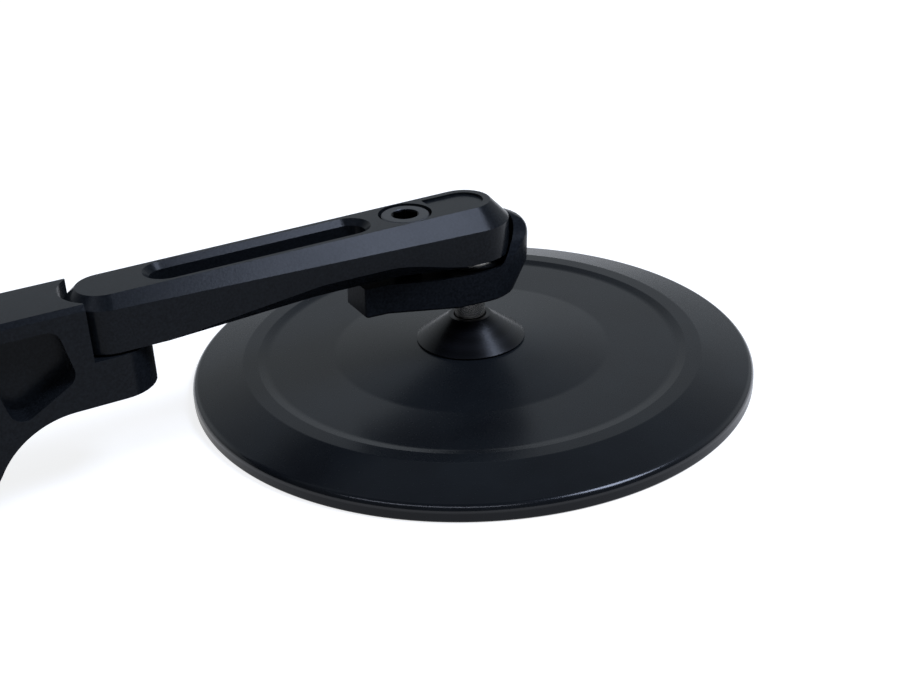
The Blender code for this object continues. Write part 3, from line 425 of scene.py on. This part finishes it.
def outline_mesh(name, profile, is_closed):
    """An outline as a chain of edges: radius, height, corner radius and thread depth, in millimetres."""
    rows = [tuple(point) + (0.0,) * (4 - len(point)) for point in profile]
    mesh = bpy.data.meshes.new(name)
    edges = [(index, index + 1) for index in range(len(rows) - 1)]
    if is_closed:
        edges.append((len(rows) - 1, 0))
    mesh.from_pydata([(row[0] * MM, 0.0, row[1] * MM) for row in rows], edges, [])
    for column, label in ((2, "corner_round"), (3, "thread_depth")):
        values = mesh.attributes.new(label, 'FLOAT', 'POINT')
        values.data.foreach_set("value", [row[column] * MM for row in rows])
    return mesh


def settle(piece):
    """Turns a piece's modifiers into a plain closed mesh with its faces outwards."""
    depsgraph = bpy.context.evaluated_depsgraph_get()
    mesh = bpy.data.meshes.new_from_object(piece.evaluated_get(depsgraph))
    piece.modifiers.clear()
    shell = bmesh.new()
    shell.from_mesh(mesh)
    bmesh.ops.remove_doubles(shell, verts=shell.verts, dist=1e-7)
    bmesh.ops.recalc_face_normals(shell, faces=shell.faces)
    shell.to_mesh(mesh)
    shell.free()
    piece.data = mesh
    mesh.shade_smooth()
    return piece


def weigh_normals(piece, sharp=35.0):
    """Keeps flat faces flat beside rounded edges, and hard corners hard."""
    piece.data.set_sharp_from_angle(angle=radians(sharp))
    weights = piece.modifiers.new("weighted_normals", 'WEIGHTED_NORMAL')
    weights.keep_sharp = True


def turn(name, profile, finish, hollow=True, axis=HEAD_AXIS, steps=128, corner_points=5, pitch=0.0):
    """A turned piece from its outline."""
    piece = bpy.data.objects.new(name, outline_mesh(name, profile, hollow))
    bpy.context.scene.collection.objects.link(piece)
    rule = piece.modifiers.new("turning", 'NODES')
    rule.node_group = TURNING
    port = sockets_of(TURNING)
    rule[port["Hollow"]] = int(hollow)
    rule[port["Steps"]] = steps
    rule[port["Corner Points"]] = corner_points
    rule[port["Pitch"]] = pitch * MM
    rule[port["Axis"]] = (axis, 0.0, 0.0)
    rule[port["Finish"]] = finish
    settle(piece)
    weigh_normals(piece)
    return piece


def seat(piece, body, slot, *nodes):
    """A finished piece moves with a body and takes the place of solids; the slot argument is not used."""
    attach(piece, body)
    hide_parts(*nodes)
    faces = sum(len(face.vertices) - 2 for face in piece.data.polygons)
    print(piece.name, "on", body, "-", faces, "triangles")


print("turned pieces read", list(sockets_of(TURNING)))

# %% [markdown]
# ## The head
# Seen from the back the head is a shallow dish: a crown under the boss, a flat plateau, a small step
# up to a narrow band, a cone that falls to the rim, and a thin upright edge. The outline runs from
# the stud's hole out over the back, round the rim, and home along the pocket for the glass. Each
# point is a radius, a height and the radius of its corner, in millimetres.

# %% Head shell
STUD_HOLE = 2.82
RIM_RADIUS = 49.0
GLASS_POCKET = 46.9
PAD_POCKET = 40.4
PAD_RELIEF = 0.45
NUT_POCKET = 9.7
GLASS_REACH = 46.5
GLASS_CURVE = 1400.0


def glass_height(radius):
    """Height of the glass's reflecting side over the table: a dome with a long radius."""
    return 0.15 + radius * radius / (2 * GLASS_CURVE)


GLASS_LEDGE = glass_height(GLASS_REACH) + 1.4
shell_outline = [(STUD_HOLE, 6.0, 0.15), (9.5, 6.0, 2.5), (24.1, 4.4, 8.0), (35.9, 4.4, 4.0), (37.5, 4.82, 0.8),
                 (40.1, 4.82, 1.2), (RIM_RADIUS, 2.7, 1.2), (RIM_RADIUS, 0.0, 0.5), (GLASS_POCKET, 0.0, 0.15),
                 (GLASS_POCKET, GLASS_LEDGE), (PAD_POCKET, GLASS_LEDGE), (PAD_POCKET, GLASS_LEDGE + PAD_RELIEF),
                 (NUT_POCKET, GLASS_LEDGE + PAD_RELIEF), (NUT_POCKET, 4.5), (STUD_HOLE, 4.5)]
head_shell = turn("head_shell", shell_outline, SATIN, steps=256, corner_points=6)
seat(head_shell, "head", "satin_black", "back_shell")

# %% [markdown]
# ## Glass, pad, washer and boss
# The glass is a disc with a slight outward dome, so the rider sees a wider view. Its foam ring and
# the stud's washer are hidden inside. The boss stands on the crown and closes the joint to the neck.

# %% Glass, pad, washer, boss
GLASS_THICKNESS = 1.2
GROUND_EDGE = 0.3
radii = [GLASS_REACH * index / 12 for index in range(13)]
edge_height = glass_height(GLASS_REACH)
glass_outline = [(r, glass_height(r) + GLASS_THICKNESS) for r in radii[:-1]]
glass_outline += [(GLASS_REACH, edge_height + GLASS_THICKNESS, GROUND_EDGE), (GLASS_REACH, edge_height, GROUND_EDGE)]
glass_outline += [(r, glass_height(r)) for r in reversed(radii[:-1])]
mirror_disc = turn("mirror_disc", glass_outline, SILVER, hollow=False, steps=256)
seat(mirror_disc, "head", "mirror", "mirror_glass")

pad_top = edge_height + 1.65
pad_outline = [(12.0, pad_top), (40.0, pad_top)]
pad_outline += [(r, glass_height(r) + 1.4) for r in (40.0, 33.0, 26.0, 19.0, 12.0)]
foam_ring = turn("foam_ring", pad_outline, FOAM)
seat(foam_ring, "head", "foam", "glass_pad")

ring_outline = [(STUD_HOLE, 4.3, 0.08), (5.2, 4.3, 0.12), (5.2, 3.8, 0.12), (STUD_HOLE, 3.8, 0.08)]
stud_ring = turn("stud_ring", ring_outline, STEEL)
seat(stud_ring, "head", "polished_steel", "stud_washer")

boss_outline = [(STUD_HOLE, 10.5, 0.1), (3.7, 10.5, 0.45), (9.5, 6.35, 0.05), (9.5, 6.2, 0.03),
                (STUD_HOLE, 6.2, 0.1)]
boss = turn("boss", boss_outline, GLOSS, steps=192)
seat(boss, "head", "gloss_black", "boss_cone")

# %% [markdown]
# ## Ball and neck
# The neck carries the ball that the jaw grips. The ball's outline is half a circle from pole to pole;
# the neck's top is hollowed to the ball it stands on.

# %% Ball and neck
BALL_HEIGHT = 22.2
BALL_RADIUS = 6.0
half_circle = [pi * index / 48 for index in range(49)]
ball_outline = [(BALL_RADIUS * sin(a), BALL_HEIGHT + BALL_RADIUS * cos(a)) for a in half_circle]
ball_outline[0] = (0.0, BALL_HEIGHT + BALL_RADIUS)
ball_outline[-1] = (0.0, BALL_HEIGHT - BALL_RADIUS)
joint_ball = turn("joint_ball", ball_outline, STEEL, hollow=False, steps=96)
seat(joint_ball, "ball", "polished_steel", "pivot_ball")

STUD_RADIUS = 2.67
CUP_RADIUS = BALL_RADIUS + 0.2
cup_angles = [asin(STUD_RADIUS / CUP_RADIUS) * index / 8 for index in range(9)]
neck_outline = [(CUP_RADIUS * sin(a), BALL_HEIGHT - CUP_RADIUS * cos(a)) for a in cup_angles]
neck_outline += [(STUD_RADIUS, 1.6, 0.3), (0.0, 1.6)]
neck = turn("neck", neck_outline, STEEL, hollow=False, steps=96)
seat(neck, "stud", "polished_steel", "stud")

# %% [markdown]
# ## Pivot bush and washers
# The fold turns on a nylon bush and a nylon washer, with a steel spring washer over the screw's head.
# Only a thin line of the washer shows between arm and knuckle.

# %% Bush and washers
FOLD_BORE = 2.65


def fold_ring(name, reach, top, bottom, inner_round, outer_round, finish):
    """A plain ring round the fold's screw."""
    outline = [(FOLD_BORE, top, inner_round), (reach, top, outer_round), (reach, bottom, outer_round),
               (FOLD_BORE, bottom, inner_round)]
    return turn(name, outline, finish, axis=PIVOT_AXIS, steps=96)


bush = fold_ring("fold_bush", 3.65, 21.65, 19.45, 0.1, 0.15, NYLON)
seat(bush, "bar_clamp", "nylon", "pivot_bush")
glide = fold_ring("fold_glide", 5.2, 22.8, 22.0, 0.1, 0.15, NYLON)
seat(glide, "bar_clamp", "nylon", "thrust_washer")
spring = fold_ring("fold_spring", 4.2, 19.1, 18.5, 0.08, 0.12, STEEL)
seat(spring, "bar_clamp", "polished_steel", "spring_washer")

# %% [markdown]
# ## Cap screws
# Three cap screws hold the mirror together: one closes the jaw, one is the fold's pivot, one pinches
# the ring on the bar. They share one tree: the turning rule makes head and threaded shank standing on
# the origin, a hexagon and a shallow cone are cut into the head, and the screw is turned over where
# needed and set in its place.

# %% The cap screw tree
def cap_screw_rule():
    tree = bpy.data.node_groups.new("cap_screw", 'GeometryNodeTree')
    ports = (("Profile", 'NodeSocketGeometry'), ("Steps", 'NodeSocketInt'), ("Pitch", 'NodeSocketFloat'),
             ("Key Corner", 'NodeSocketFloat'), ("Key Depth", 'NodeSocketFloat'), ("Turned Over", 'NodeSocketFloat'),
             ("Place", 'NodeSocketVector'), ("Finish", 'NodeSocketMaterial'))
    for name, kind in ports:
        tree.interface.new_socket(name, in_out='INPUT', socket_type=kind)
    tree.interface.new_socket("Piece", in_out='OUTPUT', socket_type='NodeSocketGeometry')
    given = put(tree, 'NodeGroupInput').outputs
    body = put(tree, 'GeometryNodeGroup', {"Profile": given["Profile"], "Hollow": 0, "Steps": given["Steps"],
                                           "Corner Points": 4, "Pitch": given["Pitch"], "Finish": given["Finish"]},
               node_tree=TURNING)
    tall = put(tree, 'ShaderNodeMath', {0: given["Key Depth"], 1: 2.0}, operation='MULTIPLY').outputs[0]
    key = put(tree, 'GeometryNodeMeshCylinder', {"Vertices": 6, "Radius": given["Key Corner"], "Depth": tall})
    mouth = put(tree, 'ShaderNodeMath', {0: given["Key Corner"], 1: 1.03}, operation='MULTIPLY').outputs[0]
    lead = put(tree, 'GeometryNodeMeshCone', {"Vertices": 48, "Radius Top": mouth, "Radius Bottom": 0.0,
                                              "Depth": mouth})
    sunk = put(tree, 'ShaderNodeMath', {0: mouth, 1: -0.985}, operation='MULTIPLY').outputs[0]
    drop = put(tree, 'ShaderNodeCombineXYZ', {2: sunk}).outputs[0]
    lead = put(tree, 'GeometryNodeTransform', {"Geometry": lead.outputs["Mesh"], "Translation": drop})
    first = put(tree, 'GeometryNodeMeshBoolean', {0: body.outputs[0], 1: key.outputs["Mesh"]},
                operation='DIFFERENCE', solver='EXACT')
    second = put(tree, 'GeometryNodeMeshBoolean', {0: first.outputs["Mesh"], 1: lead.outputs["Geometry"]},
                 operation='DIFFERENCE', solver='EXACT')
    lean = put(tree, 'ShaderNodeCombineXYZ', {0: given["Turned Over"]}).outputs[0]
    placed = put(tree, 'GeometryNodeTransform', {"Geometry": second.outputs["Mesh"], "Translation": given["Place"],
                                                 "Rotation": lean})
    real = put(tree, 'GeometryNodeRealizeInstances', {0: placed.outputs["Geometry"]})
    dressed = put(tree, 'GeometryNodeSetMaterial', {"Geometry": real.outputs["Geometry"],
                                                    "Material": given["Finish"]})
    put(tree, 'NodeGroupOutput', {"Piece": dressed.outputs["Geometry"]})
    return tree


CAP_SCREW = cap_screw_rule()
print("cap screw tree:", len(CAP_SCREW.nodes), "nodes")

# %% The three screws
# A metric thread is 0.61 of its pitch deep.
THREAD_SHARE = 0.61
ROWS_PER_PITCH = 8


def cap_screw(name, head, shank, key, pitch, place, over=0.0, finish=OXIDE):
    """A cap screw: head is radius and height, shank radius and length, key flats and depth, in millimetres."""
    root = shank[0] - THREAD_SHARE * pitch
    depth = shank[0] - root
    outline = [(0.0, 0.0), (head[0], 0.0, 0.45), (head[0], -head[1], 0.2), (shank[0], -head[1])]
    rows = int((shank[1] - 0.7) / pitch * ROWS_PER_PITCH)
    for row in range(rows + 1):
        outline.append((shank[0], -head[1] - 0.3 - row * pitch / ROWS_PER_PITCH, 0.0, depth))
    outline += [(root, -head[1] - shank[1], 0.0), (0.0, -head[1] - shank[1])]
    piece = bpy.data.objects.new(name, outline_mesh(name, outline, False))
    bpy.context.scene.collection.objects.link(piece)
    rule = piece.modifiers.new("cap_screw", 'NODES')
    rule.node_group = CAP_SCREW
    port = sockets_of(CAP_SCREW)
    rule[port["Steps"]] = 48
    rule[port["Pitch"]] = pitch * MM
    rule[port["Key Corner"]] = key[0] / 3 ** 0.5 * MM
    rule[port["Key Depth"]] = key[1] * MM
    rule[port["Turned Over"]] = over
    rule[port["Place"]] = place
    rule[port["Finish"]] = finish
    settle(piece)
    weigh_normals(piece, 40.0)
    return piece


low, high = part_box("jaw_screw")
jaw_bolt = cap_screw("jaw_bolt", head=(4.1, 3.6), shank=(2.5, (high.z - low.z) / MM - 3.6), key=(JAW_KEY, 2.2),
                     pitch=0.8, place=((low.x + high.x) / 2, 0.0, high.z), finish=PAINTED_SHEEN_AND_SHADE_OXIDE)
seat(jaw_bolt, "jaw_screw", "blackened_steel", "jaw_screw")
low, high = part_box("pivot_screw")
fold_bolt = cap_screw("fold_bolt", head=(4.25, 2.9), shank=(2.5, (high.z - low.z) / MM - 2.9), key=(3.0, 1.7),
                      pitch=0.8, place=(PIVOT_AXIS, 0.0, low.z), over=pi)
seat(fold_bolt, "arm", "blackened_steel", "pivot_screw")
low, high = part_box("pinch_screw")
pinch_bolt = cap_screw("pinch_bolt", head=(3.5, 2.8), shank=(2.0, (high.z - low.z) / MM - 2.8), key=(3.0, 1.6),
                       pitch=0.7, place=((low.x + high.x) / 2, 0.0, high.z))
seat(pinch_bolt, "bar_clamp", "blackened_steel", "pinch_screw")

# %% [markdown]
# ## Milled pieces
# Arm, jaw and clamp are milled from bar. Their solids already have the right faces, but a real edge
# is never knife-sharp: the tool and the blasting leave a small round that catches the light. A merged
# copy of each solid gets a Bevel modifier on its hard edges, and weighted normals keep faces flat.
# The jaw wears the duller of the two finishes.

# %% Arm, jaw and clamp
def milled(name, node, finish, edge):
    """A merged copy of a solid, with its hard edges broken."""
    mesh = frame["nodes"][node].data.copy()
    solid = bmesh.new()
    solid.from_mesh(mesh)
    bmesh.ops.remove_doubles(solid, verts=solid.verts, dist=2e-6)
    bmesh.ops.dissolve_limit(solid, angle_limit=radians(0.6), verts=solid.verts, edges=solid.edges)
    solid.to_mesh(mesh)
    solid.free()
    mesh.materials.clear()
    mesh.materials.append(finish)
    mesh.shade_smooth()
    piece = bpy.data.objects.new(name, mesh)
    bpy.context.scene.collection.objects.link(piece)
    broken = piece.modifiers.new("broken_edges", 'BEVEL')
    broken.width = edge * MM
    broken.segments = 3
    broken.limit_method = 'ANGLE'
    broken.angle_limit = radians(28.0)
    broken.use_clamp_overlap = True
    settle(piece)
    weigh_normals(piece, 30.0)
    return piece


fold_arm = milled("fold_arm", "arm", ANODISED, 0.16)
seat(fold_arm, "arm", "black_anodised", "arm")
ball_jaw = milled("ball_jaw", "clamp_jaw", MATT_ANODISED, 0.16)
seat(ball_jaw, "jaw", "black_anodised", "clamp_jaw")
bar_ring = milled("bar_ring", "clamp_body", ANODISED, 0.18)
seat(bar_ring, "bar_clamp", "black_anodised", "clamp_body")

# %% [markdown]
# ## The nut stays a solid
# The thin nut on the stud is shut in between shell and glass. Its solid is right as it is, so it only
# gets the screws' finish.

# %% Nut
nut = frame["nodes"]["stud_nut"]
nut.data.materials.clear()
nut.data.materials.append(OXIDE)
print("nut keeps its solid:", len(nut.data.polygons), "triangles")

# %% [markdown]
# ## White table
# The mirror lies face down on a white sweep that burns out to pure white, with only a soft shadow
# under the rim. The floor is pale and diffuse, and for camera, glossy and transmission rays it also
# glows a little, so it reads as white there and in reflections without more light on the object.

# %% Floor
def white_sweep():
    finish = bpy.data.materials.new("white_sweep_paper")
    finish.use_nodes = True
    tree = finish.node_tree
    tree.nodes.clear()
    path = put(tree, 'ShaderNodeLightPath').outputs
    seen = put(tree, 'ShaderNodeMath', {0: path["Is Camera Ray"], 1: path["Is Glossy Ray"]}, operation='MAXIMUM')
    seen = put(tree, 'ShaderNodeMath', {0: seen.outputs[0], 1: path["Is Transmission Ray"]}, operation='MAXIMUM')
    glow = put(tree, 'ShaderNodeMath', {0: seen.outputs[0], 1: 0.78}, operation='MULTIPLY')
    paper = put(tree, 'ShaderNodeBsdfDiffuse', {"Color": linear("#b8b8b9")})
    shine = put(tree, 'ShaderNodeEmission', {"Color": linear("#ffffff"), "Strength": glow.outputs[0]})
    both = put(tree, 'ShaderNodeAddShader', {0: paper.outputs[0], 1: shine.outputs[0]})
    put(tree, 'ShaderNodeOutputMaterial', {"Surface": both.outputs[0]})
    return finish


REACH = 4.0
sweep_mesh = bpy.data.meshes.new("table_sweep")
sweep_mesh.from_pydata([(-REACH, -REACH, 0.0), (REACH, -REACH, 0.0), (REACH, REACH, 0.0), (-REACH, REACH, 0.0)],
                       [], [(0, 1, 2, 3)])
sweep_mesh.materials.append(white_sweep())
sweep = bpy.data.objects.new("table_sweep", sweep_mesh)
bpy.context.scene.collection.objects.link(sweep)
print("floor:", 2 * REACH, "m square")

# %% [markdown]
# ## Light
# One cool soft box hangs high at the front right and lights the arm's long chamfer. A weak strip at
# the front left draws the thin line along the rim. The surroundings are pale behind the table and to
# its right, up to about thirty degrees, and dark in front and overhead. So the far side of the dish
# picks up a soft sheen, while the faces towards the camera stay black.

# %% World and lamps
PALE_SIDE = (0.5, 0.87, 0.0)
HAZE = ((0.12, "#b2b8be"), (0.30, "#d8dfe5"), (0.50, "#dce4eb"), (0.64, "#a0a9b1"), (0.80, "#a0a8b0"))


def studio_air():
    """Surroundings that change with height, pale behind and to the right, dark in front."""
    world = bpy.data.worlds.new("studio_air")
    world.use_nodes = True
    tree = world.node_tree
    tree.nodes.clear()
    aim = put(tree, 'ShaderNodeTexCoord').outputs["Generated"]
    way = put(tree, 'ShaderNodeSeparateXYZ', {0: aim}).outputs
    fade = put(tree, 'ShaderNodeValToRGB', {"Fac": way["Z"]})
    fade.color_ramp.elements[0].position = 0.0
    fade.color_ramp.elements[0].color = linear("#a4aab0")
    fade.color_ramp.elements[1].position = 1.0
    fade.color_ramp.elements[1].color = linear("#4a4f55")
    for height, code in HAZE:
        fade.color_ramp.elements.new(height).color = linear(code)
    side = put(tree, 'ShaderNodeVectorMath', {0: aim, 1: PALE_SIDE}, operation='DOT_PRODUCT')
    depth = put(tree, 'ShaderNodeMapRange', {"Value": side.outputs["Value"], "From Min": -0.15, "From Max": 0.45,
                                             "To Min": 0.12, "To Max": 1.0})
    air = put(tree, 'ShaderNodeBackground', {"Color": fade.outputs["Color"], "Strength": depth.outputs["Result"]})
    put(tree, 'ShaderNodeOutputWorld', {"Surface": air.outputs[0]})
    return world


def soft_box(name, place, aim, size, power, tint):
    """A soft box, from its place, aim and size in metres, its power in watts and its tint."""
    lamp = bpy.data.lights.new(name, 'AREA')
    lamp.shape = 'RECTANGLE'
    lamp.size, lamp.size_y = size
    lamp.energy = power
    lamp.color = linear(tint)[:3]
    box = bpy.data.objects.new(name, lamp)
    bpy.context.scene.collection.objects.link(box)
    box.location = place
    box.rotation_euler = (Vector(aim) - Vector(place)).to_track_quat('-Z', 'Y').to_euler()
    print(name, size, "m,", power, "W")


bpy.context.scene.world = studio_air()
soft_box("front_box", (0.50, -0.45, 0.95), (0.0, 0.0, 0.0), (0.40, 0.40), 11.0, "#d6e3ff")
soft_box("left_strip", (-0.46, -0.40, 0.95), (0.0, 0.0, 0.0), (1.00, 0.12), 3.0, "#e4ebff")

# %% [markdown]
# ## Camera
# The picture was taken a little above the table, from the arm's near side, with a normal lens quite
# close to the part. The camera looks at a point on the table under the head and is rolled slightly,
# as a hand-held camera is.

# %% Camera
lens = bpy.data.cameras.new("picture_camera")
lens.lens = 52.28
lens.sensor_width = 36.0
lens.clip_start = 0.01
camera = bpy.data.objects.new("picture_camera", lens)
bpy.context.scene.collection.objects.link(camera)
eye = Vector((-0.064433, -0.180555, 0.109027))
target = Vector((0.037815, 0.011889, 0.000074))
roll = radians(-2.54)
upright = (target - eye).to_track_quat('-Z', 'Y').to_matrix().to_4x4()
camera.matrix_world = Matrix.Translation(eye) @ upright @ Matrix.Rotation(roll, 4, 'Z')
bpy.context.scene.camera = camera
bpy.context.scene.view_settings.view_transform = 'Standard'
print("camera is", round((target - eye).length, 3), "m from its target")
